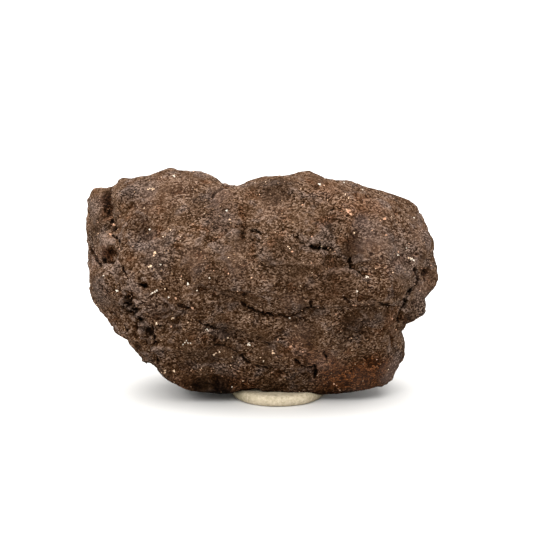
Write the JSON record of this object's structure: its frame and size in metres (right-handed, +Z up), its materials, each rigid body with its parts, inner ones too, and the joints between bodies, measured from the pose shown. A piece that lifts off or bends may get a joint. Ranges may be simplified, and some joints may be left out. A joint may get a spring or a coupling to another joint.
{
  "type": "meteorite fragment",
  "caption": "Broken lump of dark brown stony meteorite with cracks, ledges and a split-off lobe, standing on a small round pad of putty.",
  "frame": {"origin": "centre of the putty pad's flat underside, on the surface that the specimen stands on", "axes": "+X along the stone's length, to the right of its broad face; -Y the way that the broad face looks; +Z up"},
  "size_m": [0.0707, 0.042, 0.0452],
  "materials": {
    "stone": "matte",
    "putty": "matte"
  },
  "bodies": {
    "root": {"stone": "stone", "putty_pad": "putty"}
  },
  "joints": []
}
